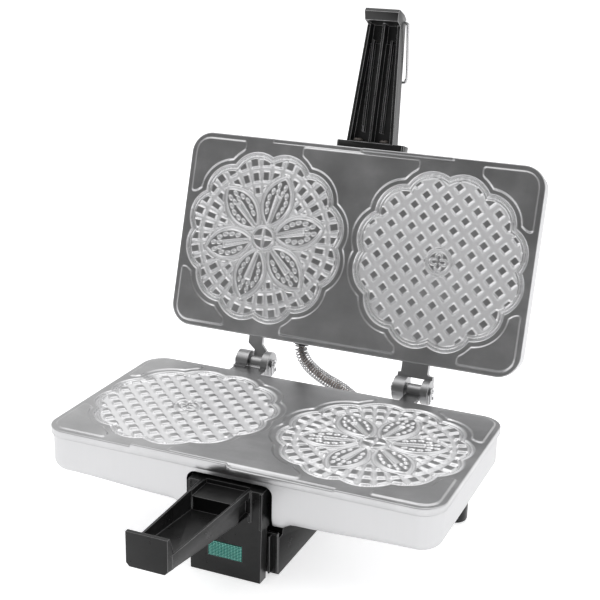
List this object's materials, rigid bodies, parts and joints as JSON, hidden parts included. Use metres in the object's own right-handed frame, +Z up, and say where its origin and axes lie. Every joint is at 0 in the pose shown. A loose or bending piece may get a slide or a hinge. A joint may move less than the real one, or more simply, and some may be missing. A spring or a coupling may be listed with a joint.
{
  "type": "waffle maker",
  "caption": "Hinged electric waffle and pizzelle maker with patterned cast plates under a lid that opens, handles at the front, a wire latch and a spring-armoured lead.",
  "frame": {"origin": "centre of the overall bounding box in plan, on the surface the feet stand on", "axes": "+X to the right seen from the front handles, +Y from the front handles to the hinge, +Z up"},
  "size_m": [0.268, 0.3602, 0.3244],
  "materials": {
    "cast_aluminium": "cast and machined, satin, seasoned",
    "polished_shell": "polished sheet",
    "black_phenolic": "moulded phenolic, semi-gloss",
    "green_lens": "translucent prismatic lens",
    "steel": "bright zinc-plated",
    "rubber_black": "matt",
    "aluminium_sheet": "mill finish sheet",
    "ceramic": "steatite",
    "neon_glass": "clear",
    "lead_spring": "bright spring wire"
  },
  "bodies": {
    "base": {"base_plate": "cast_aluminium", "base_shell": "polished_shell", "lower_handle": "black_phenolic", "handle_seal": "black_phenolic", "handle_screw": "steel", "indicator_lens": "green_lens", "indicator_lamp": "neon_glass", "base_channel": "black_phenolic", "rear_foot_left": "rubber_black", "rear_foot_right": "rubber_black", "foot_stud_left": "steel", "foot_stud_right": "steel", "base_heater": "steel", "base_reflector": "steel", "base_bolt_left": "steel", "base_bolt_right": "steel", "thermostat": "ceramic", "thermal_fuse": "steel", "terminal_block": "ceramic", "lead_gland_base": "rubber_black", "cord_gland": "rubber_black", "hinge_pin_left": "steel", "hinge_pin_right": "steel", "pin_clip_left": "steel", "pin_clip_right": "steel", "lead_spring": "lead_spring", "lead_cable": "rubber_black"},
    "lid": {"lid_plate": "cast_aluminium", "lid_shell": "polished_shell", "upper_handle": "black_phenolic", "handle_screw_left": "steel", "handle_screw_right": "steel", "lid_heater": "steel", "lid_reflector": "aluminium_sheet", "lid_bolt_left": "steel", "lid_bolt_right": "steel", "lead_gland_lid": "rubber_black"},
    "latch": {"latch_wire": "steel"}
  },
  "joints": [
    {"name": "lid_hinge", "type": "hinge", "parent": "base", "child": "lid", "pos_m": [0, 0.08109, 0.0733], "axis": [1, 0, 0], "range_deg": [0, 106.5], "deforming": ["lead_spring", "lead_cable"]},
    {"name": "latch_swing", "type": "hinge", "parent": "lid", "child": "latch", "pos_m": [0, 0.17491, 0.31416], "axis": [1, 0, 0], "range_deg": [-2, 258]}
  ]
}
